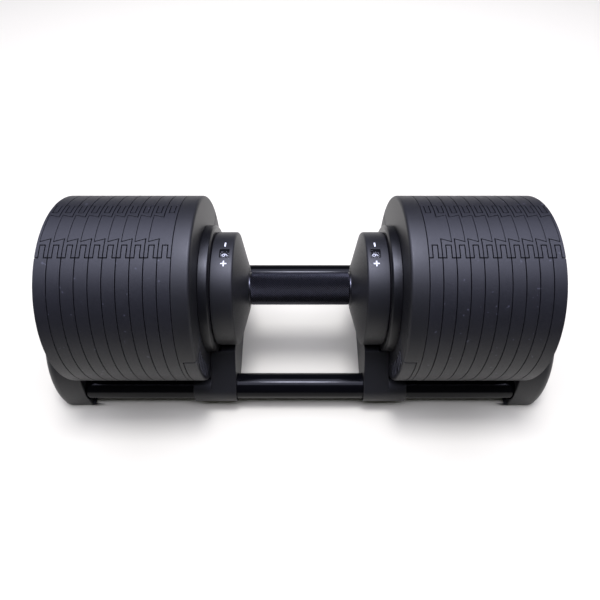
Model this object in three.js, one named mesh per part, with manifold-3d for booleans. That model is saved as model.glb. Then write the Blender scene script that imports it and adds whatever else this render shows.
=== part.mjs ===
// Adjustable dumbbell in its storage tray, in millimetres.
// X runs along the handle, Y to the back and Z up. The origin is on the floor below the middle of the grip.
import * as THREE from "three";
import { mergeVertices } from "three/addons/utils/BufferGeometryUtils.js";
import Module from "manifold-3d";

const wasm = await Module();
wasm.setup();

// ---- Driving dimensions ------------------------------------------------------------------------

const TOUCH_GAP = 0.3; // between two pieces that touch or slide on each other
const HOLE_GAP = 0.5; // round a selector in the hole of a plate

// Weight plates
const PLATE_RADIUS = 88;
const PLATE_PITCH = 10.88;
const PLATES_PER_SIDE = 10;
const TONGUE_WEB = 2.18; // left of a plate behind its neighbour's dovetail tongue
const TONGUE_ROOT_WIDTH = 23;
const TONGUE_TIP_WIDTH = 28.4;

// Handle, from the middle outwards
const GRIP_LENGTH = 96.4; // between the noses of the two cups
const GRIP_RADIUS = 15.9;
const GRIP_WALL = 1.6;
const NOSE_WALL = 1.3; // round the bush
const NOSE_DEPTH = 10.3; // length of the cone from the nose to the barrel of the cup
const CUP_RADIUS = 54.2;
const CUP_LENGTH = 19.5;
const CUP_WALL = 2.4;
const BUSH_WALL = 2.2;
const BUSH_LENGTH = 4.4;
const COLLAR_STEP = 6.4; // how far the collar stands out past the cup
const COLLAR_WIDTH = 9.3;
const COLLAR_BEVEL = 2;
const DISC_WIDTH = 15.1;
const DISC_ROUNDING = 3;

// Selector inside the grip: two telescoping rods, a slotted guide tube and a grooved cam sleeve
const BAR_RADIUS = 5;
const ROD_TUBE_WALL = 2.5;
const GUIDE_WALL = 2.8;
const FOLLOWER_RADIUS = 2;
const FOLLOWER_OFFSET = 3.96; // from the middle of the grip to the middle of a follower's travel
const FOLLOWER_TOP_GAP = 0.7; // between a follower and the floor of its groove
const FOLLOWER_TO_ROD_END = 5;
const GROOVE_WALL = 0.6; // left in the cam sleeve under a groove
const ROD_REACH = 10; // how far a rod tip stands past the inner face of the last plate it holds
const STEP_ANGLE = THREE.MathUtils.degToRad(36); // handle turn from one weight to the next

// Number dial and window
const DIAL_START = 2.5; // from the back of the cone to the web of the dial
const DIAL_WALL = 2.4;
const DIAL_HUB_WALL = 3;
const DIAL_HUB_LENGTH = 9;
const WINDOW_WIDTH = 8.5;
const WINDOW_LENGTH = 9.5;
const WINDOW_PANE = 1.2;

// Lock that stops the handle from turning outside the tray
const LOCK_RING_INSET = 6.3; // from the rim of the dial to the lock ring
const LOCK_RING_WALL = 3;
const LOCK_RING_SETBACK = 1.3; // from the open end of the dial
const LOCK_CHANNEL = 6.3; // between the dial and the collar, for the lock pin
const LOCK_PIN_RADIUS = 2;
const LOCK_TRAVEL = 3;
const LOCK_PIN_STANDOUT = 2.5; // below the cup while the tray holds the pin up
const LOCK_TOOTH_HEIGHT = 4;
const LOCK_TOOTH_GAP = 3.15; // from the dial's web to the tooth
const SPRING_LENGTH = 9.2;
const SPRING_WIRE_RADIUS = 0.35;
const SPRING_TURNS = 4;
const BRACKET_THICKNESS = 2;

// Tray
const FLOOR_CLEARANCE = 4.4; // below the plates
const TUBE_RADIUS = 12.7;
const TUBE_WALL = 1.5;
const TUBE_ANGLE = THREE.MathUtils.degToRad(43.3); // of a tube, seen from the handle, from straight down
const END_GAP = 1.1; // between the outermost plate and an end bracket
const END_WIDTH = 31.9;
const END_ROUNDING = 10;
const SOCKET_WALL = 1.4; // least plastic round a tube in an end bracket
const SOCKET_DEPTH = 20;
const SADDLE_OFFSET = 4.5; // from the barrel's inner end to the saddle
const SADDLE_INSET = 4.2; // from the side of the cup to the outside of the saddle's arms
const SADDLE_DROP = 35; // from the handle's axis to the top of the arms
const SADDLE_REACH = 2.6; // of the foot under the plates
const SADDLE_WALL = 6;
const SADDLE_WRAP = 2.5; // plastic round a tube in a saddle
const SEAT_GAP = 0.5; // between the saddle and the cup or the collar
const PAD_THICKNESS = 2.3;
const PAD_LENGTH = 18;
const PAD_DEPTH = 24;

// Facets of a full circle
const LARGE_ROUND = 40;
const MIDDLE_ROUND = 24;
const SMALL_ROUND = 16;
const TINY_ROUND = 10;
const HELIX_STEPS = 28;
const SPRING_STEPS = 8; // in a turn

// ---- Derived sizes -----------------------------------------------------------------------------

const NOSE_BORE = GRIP_RADIUS + TOUCH_GAP + BUSH_WALL + TOUCH_GAP;
const NOSE_RADIUS = NOSE_BORE + NOSE_WALL;
const NOSE_X = GRIP_LENGTH / 2;
const CUP_X = NOSE_X + NOSE_DEPTH;
const COLLAR_X = CUP_X + CUP_LENGTH;
const DISC_X = COLLAR_X + COLLAR_WIDTH;
const FIRST_SEAM = DISC_X + DISC_WIDTH;
const STACK_END = FIRST_SEAM + PLATES_PER_SIDE * PLATE_PITCH;
const PLATE_THICKNESS = PLATE_PITCH - TOUCH_GAP;
const TONGUE_DEPTH = PLATE_THICKNESS - TONGUE_WEB - TOUCH_GAP;
const CUP_INNER_RADIUS = CUP_RADIUS - CUP_WALL;
const COLLAR_RADIUS = CUP_RADIUS + COLLAR_STEP;

const ROD_TUBE_INNER = BAR_RADIUS + TOUCH_GAP;
const ROD_TUBE_OUTER = ROD_TUBE_INNER + ROD_TUBE_WALL;
const GUIDE_INNER = ROD_TUBE_OUTER + TOUCH_GAP;
const GUIDE_OUTER = GUIDE_INNER + GUIDE_WALL;
const CAM_INNER = GUIDE_OUTER + TOUCH_GAP;
const CAM_OUTER = GRIP_RADIUS - GRIP_WALL - TOUCH_GAP;
const HUB_BORE = GUIDE_OUTER + TOUCH_GAP;
const TRAVEL = (PLATES_PER_SIDE - 1) * PLATE_PITCH;
const FULL_TURN = (PLATES_PER_SIDE - 1) * STEP_ANGLE;
const FOLLOWER_START = TRAVEL / 2 - FOLLOWER_OFFSET; // from the middle, when the rods are drawn in
const ROD_TIP = FIRST_SEAM + ROD_REACH;
const SLOT_MARGIN = FOLLOWER_RADIUS + TOUCH_GAP;
const CAM_END = TRAVEL - FOLLOWER_START + 2 * SLOT_MARGIN;

const DIAL_X = CUP_X + DIAL_START;
const DIAL_OUTER = CUP_INNER_RADIUS - HOLE_GAP;
const LOCK_RING_RADIUS = DIAL_OUTER - LOCK_RING_INSET;
const DIAL_WIDTH = COLLAR_X - LOCK_CHANNEL - DIAL_X;
const DIAL_WEB_END = DIAL_X + DIAL_WALL;
const SLEEVE_END = DIAL_WEB_END + LOCK_TRAVEL;
const LOCK_X = (DIAL_X + DIAL_WIDTH + COLLAR_X) / 2 - TOUCH_GAP;
const LOCK_TOOTH_END = DIAL_WEB_END + LOCK_TOOTH_GAP;
const LOCK_TOOTH_BOTTOM = LOCK_RING_RADIUS - LOCK_RING_WALL - HOLE_GAP;
const LOCK_TOOTH_TOP = LOCK_TOOTH_BOTTOM - LOCK_TOOTH_HEIGHT;
const LOCK_PIN_BOTTOM = CUP_RADIUS + LOCK_PIN_STANDOUT;
const SPRING_TOP = LOCK_TOOTH_TOP - SPRING_LENGTH - 2 * TOUCH_GAP;

const TUBE_BORE = TUBE_RADIUS + TOUCH_GAP;
const TUBE_SEAT = PLATE_RADIUS + TUBE_RADIUS + TOUCH_GAP;
const TUBE_Y = TUBE_SEAT * Math.sin(TUBE_ANGLE);
const TUBE_DROP = TUBE_SEAT * Math.cos(TUBE_ANGLE);
// High enough for the plates to clear the floor and for the sockets to clear the pads.
const AXIS_HEIGHT = Math.max(
  PLATE_RADIUS + FLOOR_CLEARANCE,
  TUBE_DROP + TUBE_BORE + SOCKET_WALL + PAD_THICKNESS,
);
const TUBE_Z = AXIS_HEIGHT - TUBE_DROP;
const TRAY_HALF_DEPTH = TUBE_Y + TUBE_BORE + SOCKET_WALL;
const END_X = STACK_END + END_GAP;

const SADDLE_START = CUP_X + SADDLE_OFFSET;
const SADDLE_HALF_DEPTH = CUP_RADIUS - SADDLE_INSET;
const SADDLE_TOP = AXIS_HEIGHT - SADDLE_DROP;
const SADDLE_FOOT_END = FIRST_SEAM + SADDLE_REACH;

// ---- Geometry helpers --------------------------------------------------------------------------

// A manifold solid from any closed three.js geometry.
function solid(geometry) {
  const bare = geometry.clone();
  bare.deleteAttribute("normal");
  bare.deleteAttribute("uv");
  const merged = mergeVertices(bare, 1e-4);
  const corners = merged.index.array;
  const faces = [];
  for (let i = 0; i < corners.length; i += 3) {
    const [a, b, c] = corners.slice(i, i + 3);
    if (a !== b && b !== c && c !== a) faces.push(a, b, c);
  }
  return new wasm.Manifold(
    new wasm.Mesh({
      numProp: 3,
      vertProperties: merged.attributes.position.array,
      triVerts: new Uint32Array(faces),
    }),
  );
}

function geometryOf(shape) {
  const { vertProperties, triVerts } = shape.getMesh();
  const geometry = new THREE.BufferGeometry();
  geometry.setAttribute("position", new THREE.BufferAttribute(vertProperties, 3));
  geometry.setIndex(new THREE.BufferAttribute(triVerts, 1));
  geometry.computeVertexNormals();
  return geometry;
}

function cut(shape, ...tools) {
  return tools.reduce((left, tool) => left.subtract(tool), shape);
}

// A profile of [x, radius] points turned about the X axis. The points run outwards first.
function turned(points, facets) {
  const profile = points.map(([x, radius]) => new THREE.Vector2(radius, x));
  profile.push(profile[0].clone());
  return solid(new THREE.LatheGeometry(profile, facets).rotateZ(-Math.PI / 2));
}

function ring(start, end, inner, outer, facets) {
  return turned([[start, inner], [start, outer], [end, outer], [end, inner]], facets);
}

// A round bar along X.
function bar(start, end, radius, facets, y = 0, z = 0) {
  const geometry = new THREE.CylinderGeometry(radius, radius, end - start, facets);
  return solid(geometry.rotateZ(-Math.PI / 2).translate((start + end) / 2, y, z));
}

// A round post along Z.
function post(x, bottom, top, radius, facets = TINY_ROUND) {
  const geometry = new THREE.CylinderGeometry(radius, radius, top - bottom, facets);
  return solid(geometry.rotateX(Math.PI / 2).translate(x, 0, (bottom + top) / 2));
}

function block(x0, x1, y0, y1, z0, z1) {
  const geometry = new THREE.BoxGeometry(x1 - x0, y1 - y0, z1 - z0);
  return solid(geometry.translate((x0 + x1) / 2, (y0 + y1) / 2, (z0 + z1) / 2));
}

// An outline drawn in Y and Z, extruded along X.
function extrudedAlongX(outline, start, end) {
  const geometry = new THREE.ExtrudeGeometry(outline, {
    depth: end - start,
    bevelEnabled: false,
    curveSegments: SMALL_ROUND / 2,
  });
  const turn = new THREE.Matrix4().makeBasis(
    new THREE.Vector3(0, 1, 0),
    new THREE.Vector3(0, 0, 1),
    new THREE.Vector3(1, 0, 0),
  );
  return solid(geometry.applyMatrix4(turn).translate(start, 0, 0));
}

function finish(color, roughness, metalness) {
  return { color, roughness, metalness };
}

const COATED_STEEL = finish(0x2b2b30, 0.55, 0.3);
const GLOSS_TUBE = finish(0x0a0a0c, 0.18, 0.3);
const BLACK_PLASTIC = finish(0x1c1c1e, 0.6, 0);
const GRIP_STEEL = finish(0x101012, 0.42, 0.6);
const BARE_STEEL = finish(0xb4b6ba, 0.3, 1);
const DIAL_PLASTIC = finish(0x0d0d0e, 0.4, 0);
const CLEAR_PANE = finish(0xdfe6ea, 0.08, 0);
const SOFT_RUBBER = finish(0x141414, 0.9, 0);

function mesh(name, shape, surface) {
  const part = new THREE.Mesh(geometryOf(shape), new THREE.MeshStandardMaterial(surface));
  part.name = name;
  return part;
}

// ---- Plates ------------------------------------------------------------------------------------

// The dovetail's plan, from a root at X = start to its tip, widened by the running gap for a slot.
function dovetail(start, tip, widening) {
  const root = TONGUE_ROOT_WIDTH / 2 + widening;
  const end = TONGUE_TIP_WIDTH / 2 + widening;
  const plan = new THREE.Shape([
    new THREE.Vector2(start, -root),
    new THREE.Vector2(PLATE_PITCH, -root),
    new THREE.Vector2(tip, -end),
    new THREE.Vector2(tip, end),
    new THREE.Vector2(PLATE_PITCH, root),
    new THREE.Vector2(start, root),
  ]);
  const height = 2 * PLATE_RADIUS + 2;
  const geometry = new THREE.ExtrudeGeometry(plan, { depth: height, bevelEnabled: false });
  return geometry.translate(0, 0, -height / 2);
}

function plateTongue() {
  const tip = PLATE_PITCH + TONGUE_DEPTH;
  const prism = solid(dovetail(PLATE_THICKNESS - 1, tip, 0));
  return prism.intersect(bar(0, tip + 1, PLATE_RADIUS, LARGE_ROUND));
}

function plateSlot() {
  const tip = PLATE_PITCH + TONGUE_DEPTH + TOUCH_GAP;
  return solid(dovetail(PLATE_THICKNESS - 1, tip, TOUCH_GAP * 1.1).translate(-PLATE_PITCH, 0, 0));
}

// Plate 1 is screwed to the inner disc and needs no slot; the outermost plate carries no tongue.
function plate(number, holeRadius) {
  let shape = bar(0, PLATE_THICKNESS, PLATE_RADIUS, LARGE_ROUND);
  if (number < PLATES_PER_SIDE) shape = shape.add(plateTongue());
  if (number > 1) shape = shape.subtract(plateSlot());
  return cut(shape, bar(-1, 2 * PLATE_PITCH, holeRadius, SMALL_ROUND));
}

// ---- Handle ------------------------------------------------------------------------------------

function innerDisc() {
  const edge = PLATE_RADIUS - DISC_ROUNDING;
  const middle = DISC_ROUNDING * Math.SQRT1_2;
  return turned(
    [
      [DISC_X, HUB_BORE],
      [DISC_X, edge],
      [DISC_X + DISC_ROUNDING - middle, edge + middle],
      [DISC_X + DISC_ROUNDING, PLATE_RADIUS],
      [FIRST_SEAM - TOUCH_GAP, PLATE_RADIUS],
      [FIRST_SEAM - TOUCH_GAP, HUB_BORE],
    ],
    LARGE_ROUND,
  );
}

// The collar closes the back of the cup and carries a small bracket that guides the lock pin.
function collar() {
  const end = DISC_X - TOUCH_GAP;
  const flange = turned(
    [
      [COLLAR_X, HUB_BORE],
      [COLLAR_X, COLLAR_RADIUS - COLLAR_BEVEL],
      [COLLAR_X + COLLAR_BEVEL, COLLAR_RADIUS],
      [end, COLLAR_RADIUS],
      [end, HUB_BORE],
    ],
    LARGE_ROUND,
  );
  const bracketHalf = LOCK_PIN_RADIUS + BRACKET_THICKNESS;
  const bracket = block(
    LOCK_X - bracketHalf,
    COLLAR_X + 1,
    -bracketHalf,
    bracketHalf,
    -SPRING_TOP,
    -SPRING_TOP + BRACKET_THICKNESS,
  );
  const guideHole = post(LOCK_X, -SPRING_TOP - 1, -SPRING_TOP + 3, LOCK_PIN_RADIUS + TOUCH_GAP);
  return cut(flange.add(bracket), guideHole);
}

function windowBlock(margin) {
  const middle = DIAL_X + DIAL_WIDTH / 2;
  const halfWidth = WINDOW_WIDTH / 2 - margin;
  const halfLength = WINDOW_LENGTH / 2 - margin;
  const floor = CUP_INNER_RADIUS - 3;
  return block(middle - halfWidth, middle + halfWidth, -halfLength, halfLength, floor, CUP_RADIUS + 1);
}

function cup() {
  const slope = NOSE_DEPTH / (CUP_RADIUS - NOSE_RADIUS);
  const coneWall = CUP_WALL * Math.hypot(1, slope);
  const shell = turned(
    [
      [NOSE_X, NOSE_BORE],
      [NOSE_X, NOSE_RADIUS],
      [CUP_X, CUP_RADIUS],
      [COLLAR_X - TOUCH_GAP, CUP_RADIUS],
      [COLLAR_X - TOUCH_GAP, CUP_INNER_RADIUS],
      [CUP_X + coneWall - CUP_WALL * slope, CUP_INNER_RADIUS],
      [NOSE_X + coneWall, NOSE_RADIUS],
      [NOSE_X + coneWall, NOSE_BORE],
    ],
    LARGE_ROUND,
  );
  const pinHole = post(LOCK_X, -CUP_RADIUS - 2, -CUP_INNER_RADIUS + 2, LOCK_PIN_RADIUS + HOLE_GAP);
  return cut(shell, windowBlock(0), pinHole);
}

function windowPane() {
  const outer = CUP_RADIUS - TOUCH_GAP;
  const band = ring(CUP_X, COLLAR_X, outer - WINDOW_PANE, outer, LARGE_ROUND);
  return band.intersect(windowBlock(TOUCH_GAP));
}

function noseBush() {
  const inner = GRIP_RADIUS + TOUCH_GAP;
  return ring(NOSE_X - HOLE_GAP, NOSE_X + BUSH_LENGTH, inner, inner + BUSH_WALL, MIDDLE_ROUND);
}

function guideTube() {
  const end = FIRST_SEAM - TOUCH_GAP;
  const near = FOLLOWER_START + SLOT_MARGIN;
  const far = TRAVEL - FOLLOWER_START + SLOT_MARGIN;
  return cut(
    ring(-end, end, GUIDE_INNER, GUIDE_OUTER, MIDDLE_ROUND),
    block(-near, far, -SLOT_MARGIN, SLOT_MARGIN, 0, GUIDE_OUTER + 1),
    block(-far, near, -SLOT_MARGIN, SLOT_MARGIN, -GUIDE_OUTER - 1, 0),
  );
}

// ---- Turning grip ------------------------------------------------------------------------------

function gripSleeve() {
  return ring(-SLEEVE_END, SLEEVE_END, GRIP_RADIUS - GRIP_WALL, GRIP_RADIUS, MIDDLE_ROUND);
}

// A square bar wound about the X axis. With hand 1 it starts at the top, where the bar's follower
// rests, and climbs towards +X; with hand -1 it starts at the bottom and runs the other way.
function helicalCutter(hand) {
  const floor = CAM_OUTER - GROOVE_WALL;
  const rate = FULL_TURN / TRAVEL;
  const width = 2 * (FOLLOWER_RADIUS * Math.hypot(1, rate * CAM_OUTER) + TOUCH_GAP);
  const length = TRAVEL + 2 * SLOT_MARGIN;
  const geometry = new THREE.BoxGeometry(length, width, floor - BAR_RADIUS, HELIX_STEPS, 1, 1);
  geometry.translate(hand * (TRAVEL / 2 - FOLLOWER_START), 0, (hand * (floor + BAR_RADIUS)) / 2);
  const places = geometry.attributes.position;
  const corner = new THREE.Vector3();
  const axis = new THREE.Vector3(1, 0, 0);
  for (let i = 0; i < places.count; i++) {
    corner.fromBufferAttribute(places, i);
    corner.applyAxisAngle(axis, -rate * (hand * corner.x + FOLLOWER_START));
    places.setXYZ(i, corner.x, corner.y, corner.z);
  }
  return solid(geometry);
}

function camSleeve() {
  const sleeve = ring(-CAM_END, CAM_END, CAM_INNER, CAM_OUTER, MIDDLE_ROUND);
  return cut(sleeve, helicalCutter(1), helicalCutter(-1));
}

// Drum with the weight numbers on its rim and a notched ring inside for the lock's tooth.
function dial() {
  const hub = GRIP_RADIUS + TOUCH_GAP;
  const web = DIAL_WEB_END;
  const ringEnd = DIAL_X + DIAL_WIDTH - LOCK_RING_SETBACK;
  const rim = DIAL_OUTER - DIAL_WALL;
  const drum = turned(
    [
      [DIAL_X, hub],
      [DIAL_X, DIAL_OUTER],
      [DIAL_X + DIAL_WIDTH, DIAL_OUTER],
      [DIAL_X + DIAL_WIDTH, rim],
      [web, rim],
      [web, LOCK_RING_RADIUS],
      [ringEnd, LOCK_RING_RADIUS],
      [ringEnd, LOCK_RING_RADIUS - LOCK_RING_WALL],
      [web, LOCK_RING_RADIUS - LOCK_RING_WALL],
      [web, hub + DIAL_HUB_WALL],
      [DIAL_X + DIAL_HUB_LENGTH / 2, hub + DIAL_HUB_WALL],
      [DIAL_X + DIAL_HUB_LENGTH / 2, hub],
    ],
    MIDDLE_ROUND,
  );
  const half = LOCK_PIN_RADIUS + HOLE_GAP;
  const notchEnd = LOCK_TOOTH_END - HOLE_GAP;
  const notches = Array.from({ length: PLATES_PER_SIDE }, (_, step) =>
    solid(
      new THREE.BoxGeometry(LOCK_X - notchEnd, 2 * half, 2 * LOCK_RING_WALL)
        .translate((notchEnd + LOCK_X) / 2, 0, -(LOCK_RING_RADIUS - LOCK_RING_WALL / 2))
        .rotateX(step * STEP_ANGLE),
    ),
  );
  return cut(drum, ...notches);
}

// ---- Selector rods -----------------------------------------------------------------------------

const ROD_END = FOLLOWER_START + FOLLOWER_TO_ROD_END;

function rodTube() {
  const slot = block(-FOLLOWER_START - SLOT_MARGIN, ROD_END + 1, -SLOT_MARGIN, SLOT_MARGIN, 0, GUIDE_OUTER);
  const hole = post(FOLLOWER_START, -GUIDE_OUTER, 0, SLOT_MARGIN);
  return cut(ring(-ROD_TIP, ROD_END, ROD_TUBE_INNER, ROD_TUBE_OUTER, MIDDLE_ROUND), slot, hole);
}

function rodBar() {
  const hole = post(-FOLLOWER_START, -BAR_RADIUS / 2, GUIDE_OUTER, SLOT_MARGIN);
  return cut(bar(-ROD_END, ROD_TIP, BAR_RADIUS, SMALL_ROUND), hole);
}

const FOLLOWER_TIP = CAM_OUTER - GROOVE_WALL - FOLLOWER_TOP_GAP;

function barFollower() {
  return post(-FOLLOWER_START, -BAR_RADIUS / 2 + TOUCH_GAP, FOLLOWER_TIP, FOLLOWER_RADIUS);
}

function tubeFollower() {
  return post(FOLLOWER_START, -FOLLOWER_TIP, -ROD_TUBE_INNER - TOUCH_GAP, FOLLOWER_RADIUS);
}

// ---- Lock --------------------------------------------------------------------------------------

function lockPin() {
  const shaftTop = -SPRING_TOP + BRACKET_THICKNESS + LOCK_TRAVEL + 1;
  const shaft = post(LOCK_X, -LOCK_PIN_BOTTOM, shaftTop, LOCK_PIN_RADIUS);
  const tooth = block(
    LOCK_TOOTH_END,
    LOCK_X,
    -LOCK_PIN_RADIUS,
    LOCK_PIN_RADIUS,
    -LOCK_TOOTH_BOTTOM,
    -LOCK_TOOTH_TOP,
  );
  return shaft.add(tooth);
}

class Helix extends THREE.Curve {
  constructor(radius, bottom, top, turns) {
    super();
    Object.assign(this, { radius, bottom, top, turns });
  }

  getPoint(t, target = new THREE.Vector3()) {
    const angle = 2 * Math.PI * this.turns * t;
    const height = THREE.MathUtils.lerp(this.bottom, this.top, t);
    return target.set(this.radius * Math.cos(angle), this.radius * Math.sin(angle), height);
  }
}

function lockSpring() {
  const radius = LOCK_PIN_RADIUS + TOUCH_GAP + SPRING_WIRE_RADIUS;
  const bottom = -LOCK_TOOTH_TOP + TOUCH_GAP + SPRING_WIRE_RADIUS;
  const path = new Helix(radius, bottom, bottom + SPRING_LENGTH - 2 * SPRING_WIRE_RADIUS, SPRING_TURNS);
  const wire = new THREE.Shape().absarc(0, 0, SPRING_WIRE_RADIUS, 0, 2 * Math.PI);
  const geometry = new THREE.ExtrudeGeometry(wire, {
    extrudePath: path,
    steps: SPRING_STEPS * SPRING_TURNS,
    curveSegments: 3,
  });
  return solid(geometry.translate(LOCK_X, 0, 0));
}

// ---- Tray --------------------------------------------------------------------------------------

function trayTube(y) {
  const end = END_X + SOCKET_DEPTH - TOUCH_GAP;
  const tube = new THREE.Group();
  tube.position.set(0, y, TUBE_Z);
  const shape = ring(-end, end, TUBE_RADIUS - TUBE_WALL, TUBE_RADIUS, MIDDLE_ROUND);
  tube.add(mesh(y < 0 ? "front_tube" : "back_tube", shape, GLOSS_TUBE));
  return tube;
}

// A half-round cap over the ends of both tubes, as high as the handle, open towards the plates.
function endBracket() {
  const radius = TRAY_HALF_DEPTH;
  const middle = AXIS_HEIGHT - radius;
  const end = END_X + END_WIDTH;
  const rounding = Array.from({ length: 4 }, (_, step) => {
    const angle = (step / 3) * (Math.PI / 2);
    const inset = END_ROUNDING * (1 - Math.cos(angle));
    return [end - END_ROUNDING * (1 - Math.sin(angle)), radius - inset];
  });
  const drum = turned([[END_X, 0], [END_X, radius], ...rounding, [end, 0]], LARGE_ROUND);
  const below = block(END_X - 1, end + 1, -2 * radius, 2 * radius, -2 * radius, PAD_THICKNESS);
  const hollow = new THREE.Shape();
  const hollowRadius = TUBE_Y - TUBE_BORE - SOCKET_WALL;
  const hollowFloor = middle + SOCKET_WALL;
  hollow.absarc(0, hollowFloor, hollowRadius, 0, Math.PI);
  hollow.closePath();
  const sockets = [-TUBE_Y, TUBE_Y].map((y) =>
    bar(END_X - 1, END_X + SOCKET_DEPTH, TUBE_BORE, MIDDLE_ROUND, y, TUBE_Z),
  );
  const inside = extrudedAlongX(hollow, END_X - 1, END_X + SOCKET_DEPTH);
  return cut(drum.translate([0, 0, middle]), below, inside, ...sockets);
}

// Section of a saddle in Y and Z, wrapped round both tubes. Its arms slope up to the given half width;
// with a half width of 0 it is flat across the tops of the wraps.
function saddleOutline(halfWidth) {
  const wrap = TUBE_BORE + SADDLE_WRAP;
  const up = SADDLE_TOP - TUBE_Z;
  const reach = Math.hypot(up, halfWidth - TUBE_Y);
  const slope = halfWidth ? Math.atan2(up, halfWidth - TUBE_Y) - Math.acos(wrap / reach) : Math.PI / 2;
  const outline = new THREE.Shape();
  outline.moveTo(-TUBE_Y, TUBE_Z - wrap);
  outline.absarc(TUBE_Y, TUBE_Z, wrap, -Math.PI / 2, slope);
  if (halfWidth) {
    outline.lineTo(halfWidth, SADDLE_TOP);
    outline.lineTo(-halfWidth, SADDLE_TOP);
  }
  outline.absarc(-TUBE_Y, TUBE_Z, wrap, Math.PI - slope, 1.5 * Math.PI);
  outline.closePath();
  return outline;
}

// An upright that cradles cup and collar, on a longer foot that reaches under the inner disc.
function saddle() {
  const uprightEnd = DISC_X - TOUCH_GAP;
  const upright = extrudedAlongX(saddleOutline(SADDLE_HALF_DEPTH), SADDLE_START, uprightEnd);
  const foot = extrudedAlongX(saddleOutline(0), SADDLE_START, SADDLE_FOOT_END);
  const seats = [
    bar(SADDLE_START - 1, COLLAR_X, CUP_RADIUS + SEAT_GAP, LARGE_ROUND, 0, AXIS_HEIGHT),
    bar(COLLAR_X - SEAT_GAP, DISC_X, COLLAR_RADIUS + SEAT_GAP, LARGE_ROUND, 0, AXIS_HEIGHT),
    bar(DISC_X - TOUCH_GAP, SADDLE_FOOT_END + 1, PLATE_RADIUS + SEAT_GAP, LARGE_ROUND, 0, AXIS_HEIGHT),
  ];
  const bores = [-TUBE_Y, TUBE_Y].map((y) =>
    bar(SADDLE_START - 1, SADDLE_FOOT_END + 1, TUBE_BORE, MIDDLE_ROUND, y, TUBE_Z),
  );
  const pinFloor = AXIS_HEIGHT - LOCK_PIN_BOTTOM - TOUCH_GAP;
  const pinPocket = post(LOCK_X, pinFloor, AXIS_HEIGHT, LOCK_PIN_RADIUS + 2 * HOLE_GAP);
  const hollowHalf = SADDLE_HALF_DEPTH - SADDLE_WALL;
  const underside = block(
    SADDLE_START + SADDLE_WALL / 2,
    uprightEnd - SADDLE_WALL / 2,
    -hollowHalf,
    hollowHalf,
    0,
    pinFloor - SADDLE_WALL,
  );
  return cut(upright.add(foot), ...seats, ...bores, pinPocket, underside);
}

function footPad(y) {
  const thickness = PAD_THICKNESS - TOUCH_GAP;
  const pad = new THREE.CylinderGeometry(PAD_LENGTH / 2, PAD_LENGTH / 2, thickness, MIDDLE_ROUND);
  pad.rotateX(Math.PI / 2).scale(1, PAD_DEPTH / PAD_LENGTH, 1);
  return solid(pad.translate(END_X + END_WIDTH / 2, y, thickness / 2));
}

// ---- Assembly ----------------------------------------------------------------------------------

const SIDES = [
  { name: "left", sign: -1, holeRadius: ROD_TUBE_OUTER + HOLE_GAP },
  { name: "right", sign: 1, holeRadius: BAR_RADIUS + HOLE_GAP },
];

function handleSide({ name, sign, holeRadius }) {
  const side = new THREE.Group();
  side.scale.x = sign;
  side.add(
    mesh(`${name}_inner_disc`, innerDisc(), BLACK_PLASTIC),
    mesh(`${name}_collar`, collar(), BLACK_PLASTIC),
    mesh(`${name}_cup`, cup(), BLACK_PLASTIC),
    mesh(`${name}_window`, windowPane(), CLEAR_PANE),
    mesh(`${name}_nose_bush`, noseBush(), DIAL_PLASTIC),
    mesh(`${name}_dial`, dial(), DIAL_PLASTIC),
    mesh(`${name}_lock_pin`, lockPin(), BARE_STEEL),
    mesh(`${name}_lock_spring`, lockSpring(), BARE_STEEL),
  );
  for (let number = 1; number <= PLATES_PER_SIDE; number++) {
    const label = `plate_${name}_${String(number).padStart(2, "0")}`;
    const disc = mesh(label, plate(number, holeRadius), COATED_STEEL);
    disc.position.x = FIRST_SEAM + (number - 1) * PLATE_PITCH;
    side.add(disc);
  }
  return side;
}

function traySide({ name, sign }) {
  const side = new THREE.Group();
  side.scale.x = sign;
  side.add(
    mesh(`${name}_end_bracket`, endBracket(), BLACK_PLASTIC),
    mesh(`${name}_saddle`, saddle(), BLACK_PLASTIC),
    mesh(`${name}_front_pad`, footPad(-TUBE_Y), SOFT_RUBBER),
    mesh(`${name}_back_pad`, footPad(TUBE_Y), SOFT_RUBBER),
  );
  return side;
}

const handle = new THREE.Group();
handle.position.z = AXIS_HEIGHT;
handle.add(
  ...SIDES.map(handleSide),
  mesh("guide_tube", guideTube(), BARE_STEEL),
  mesh("grip_sleeve", gripSleeve(), GRIP_STEEL),
  mesh("cam_sleeve", camSleeve(), BARE_STEEL),
  mesh("left_selector_tube", rodTube(), BARE_STEEL),
  mesh("right_selector_bar", rodBar(), BARE_STEEL),
  mesh("left_follower", tubeFollower(), BARE_STEEL),
  mesh("right_follower", barFollower(), BARE_STEEL),
);

const tray = new THREE.Group();
tray.add(trayTube(-TUBE_Y), trayTube(TUBE_Y), ...SIDES.map(traySide));

const dumbbell = new THREE.Group();
dumbbell.add(handle, tray);

export default dumbbell;
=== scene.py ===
import math

import bmesh
import bpy
from bpy.props import FloatProperty, FloatVectorProperty, PointerProperty
from mathutils import Matrix, Vector


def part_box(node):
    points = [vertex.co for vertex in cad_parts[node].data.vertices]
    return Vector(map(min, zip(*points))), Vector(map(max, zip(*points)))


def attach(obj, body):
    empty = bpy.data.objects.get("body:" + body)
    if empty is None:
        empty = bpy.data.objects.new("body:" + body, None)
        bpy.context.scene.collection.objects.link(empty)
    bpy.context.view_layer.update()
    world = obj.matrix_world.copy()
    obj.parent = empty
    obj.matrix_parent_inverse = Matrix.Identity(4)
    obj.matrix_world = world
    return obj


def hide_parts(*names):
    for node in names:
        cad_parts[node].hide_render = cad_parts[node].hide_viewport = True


bl_info = {
    "name": "Adjustable Dumbbell",
    "version": (1, 0, 0),
    "blender": (4, 5, 0),
    "location": "View3D > Sidebar > Dumbbell",
    "description": "Builds the visible pieces of an adjustable dumbbell and its tray round the CAD frame",
    "category": "Add Mesh",
}

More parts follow.
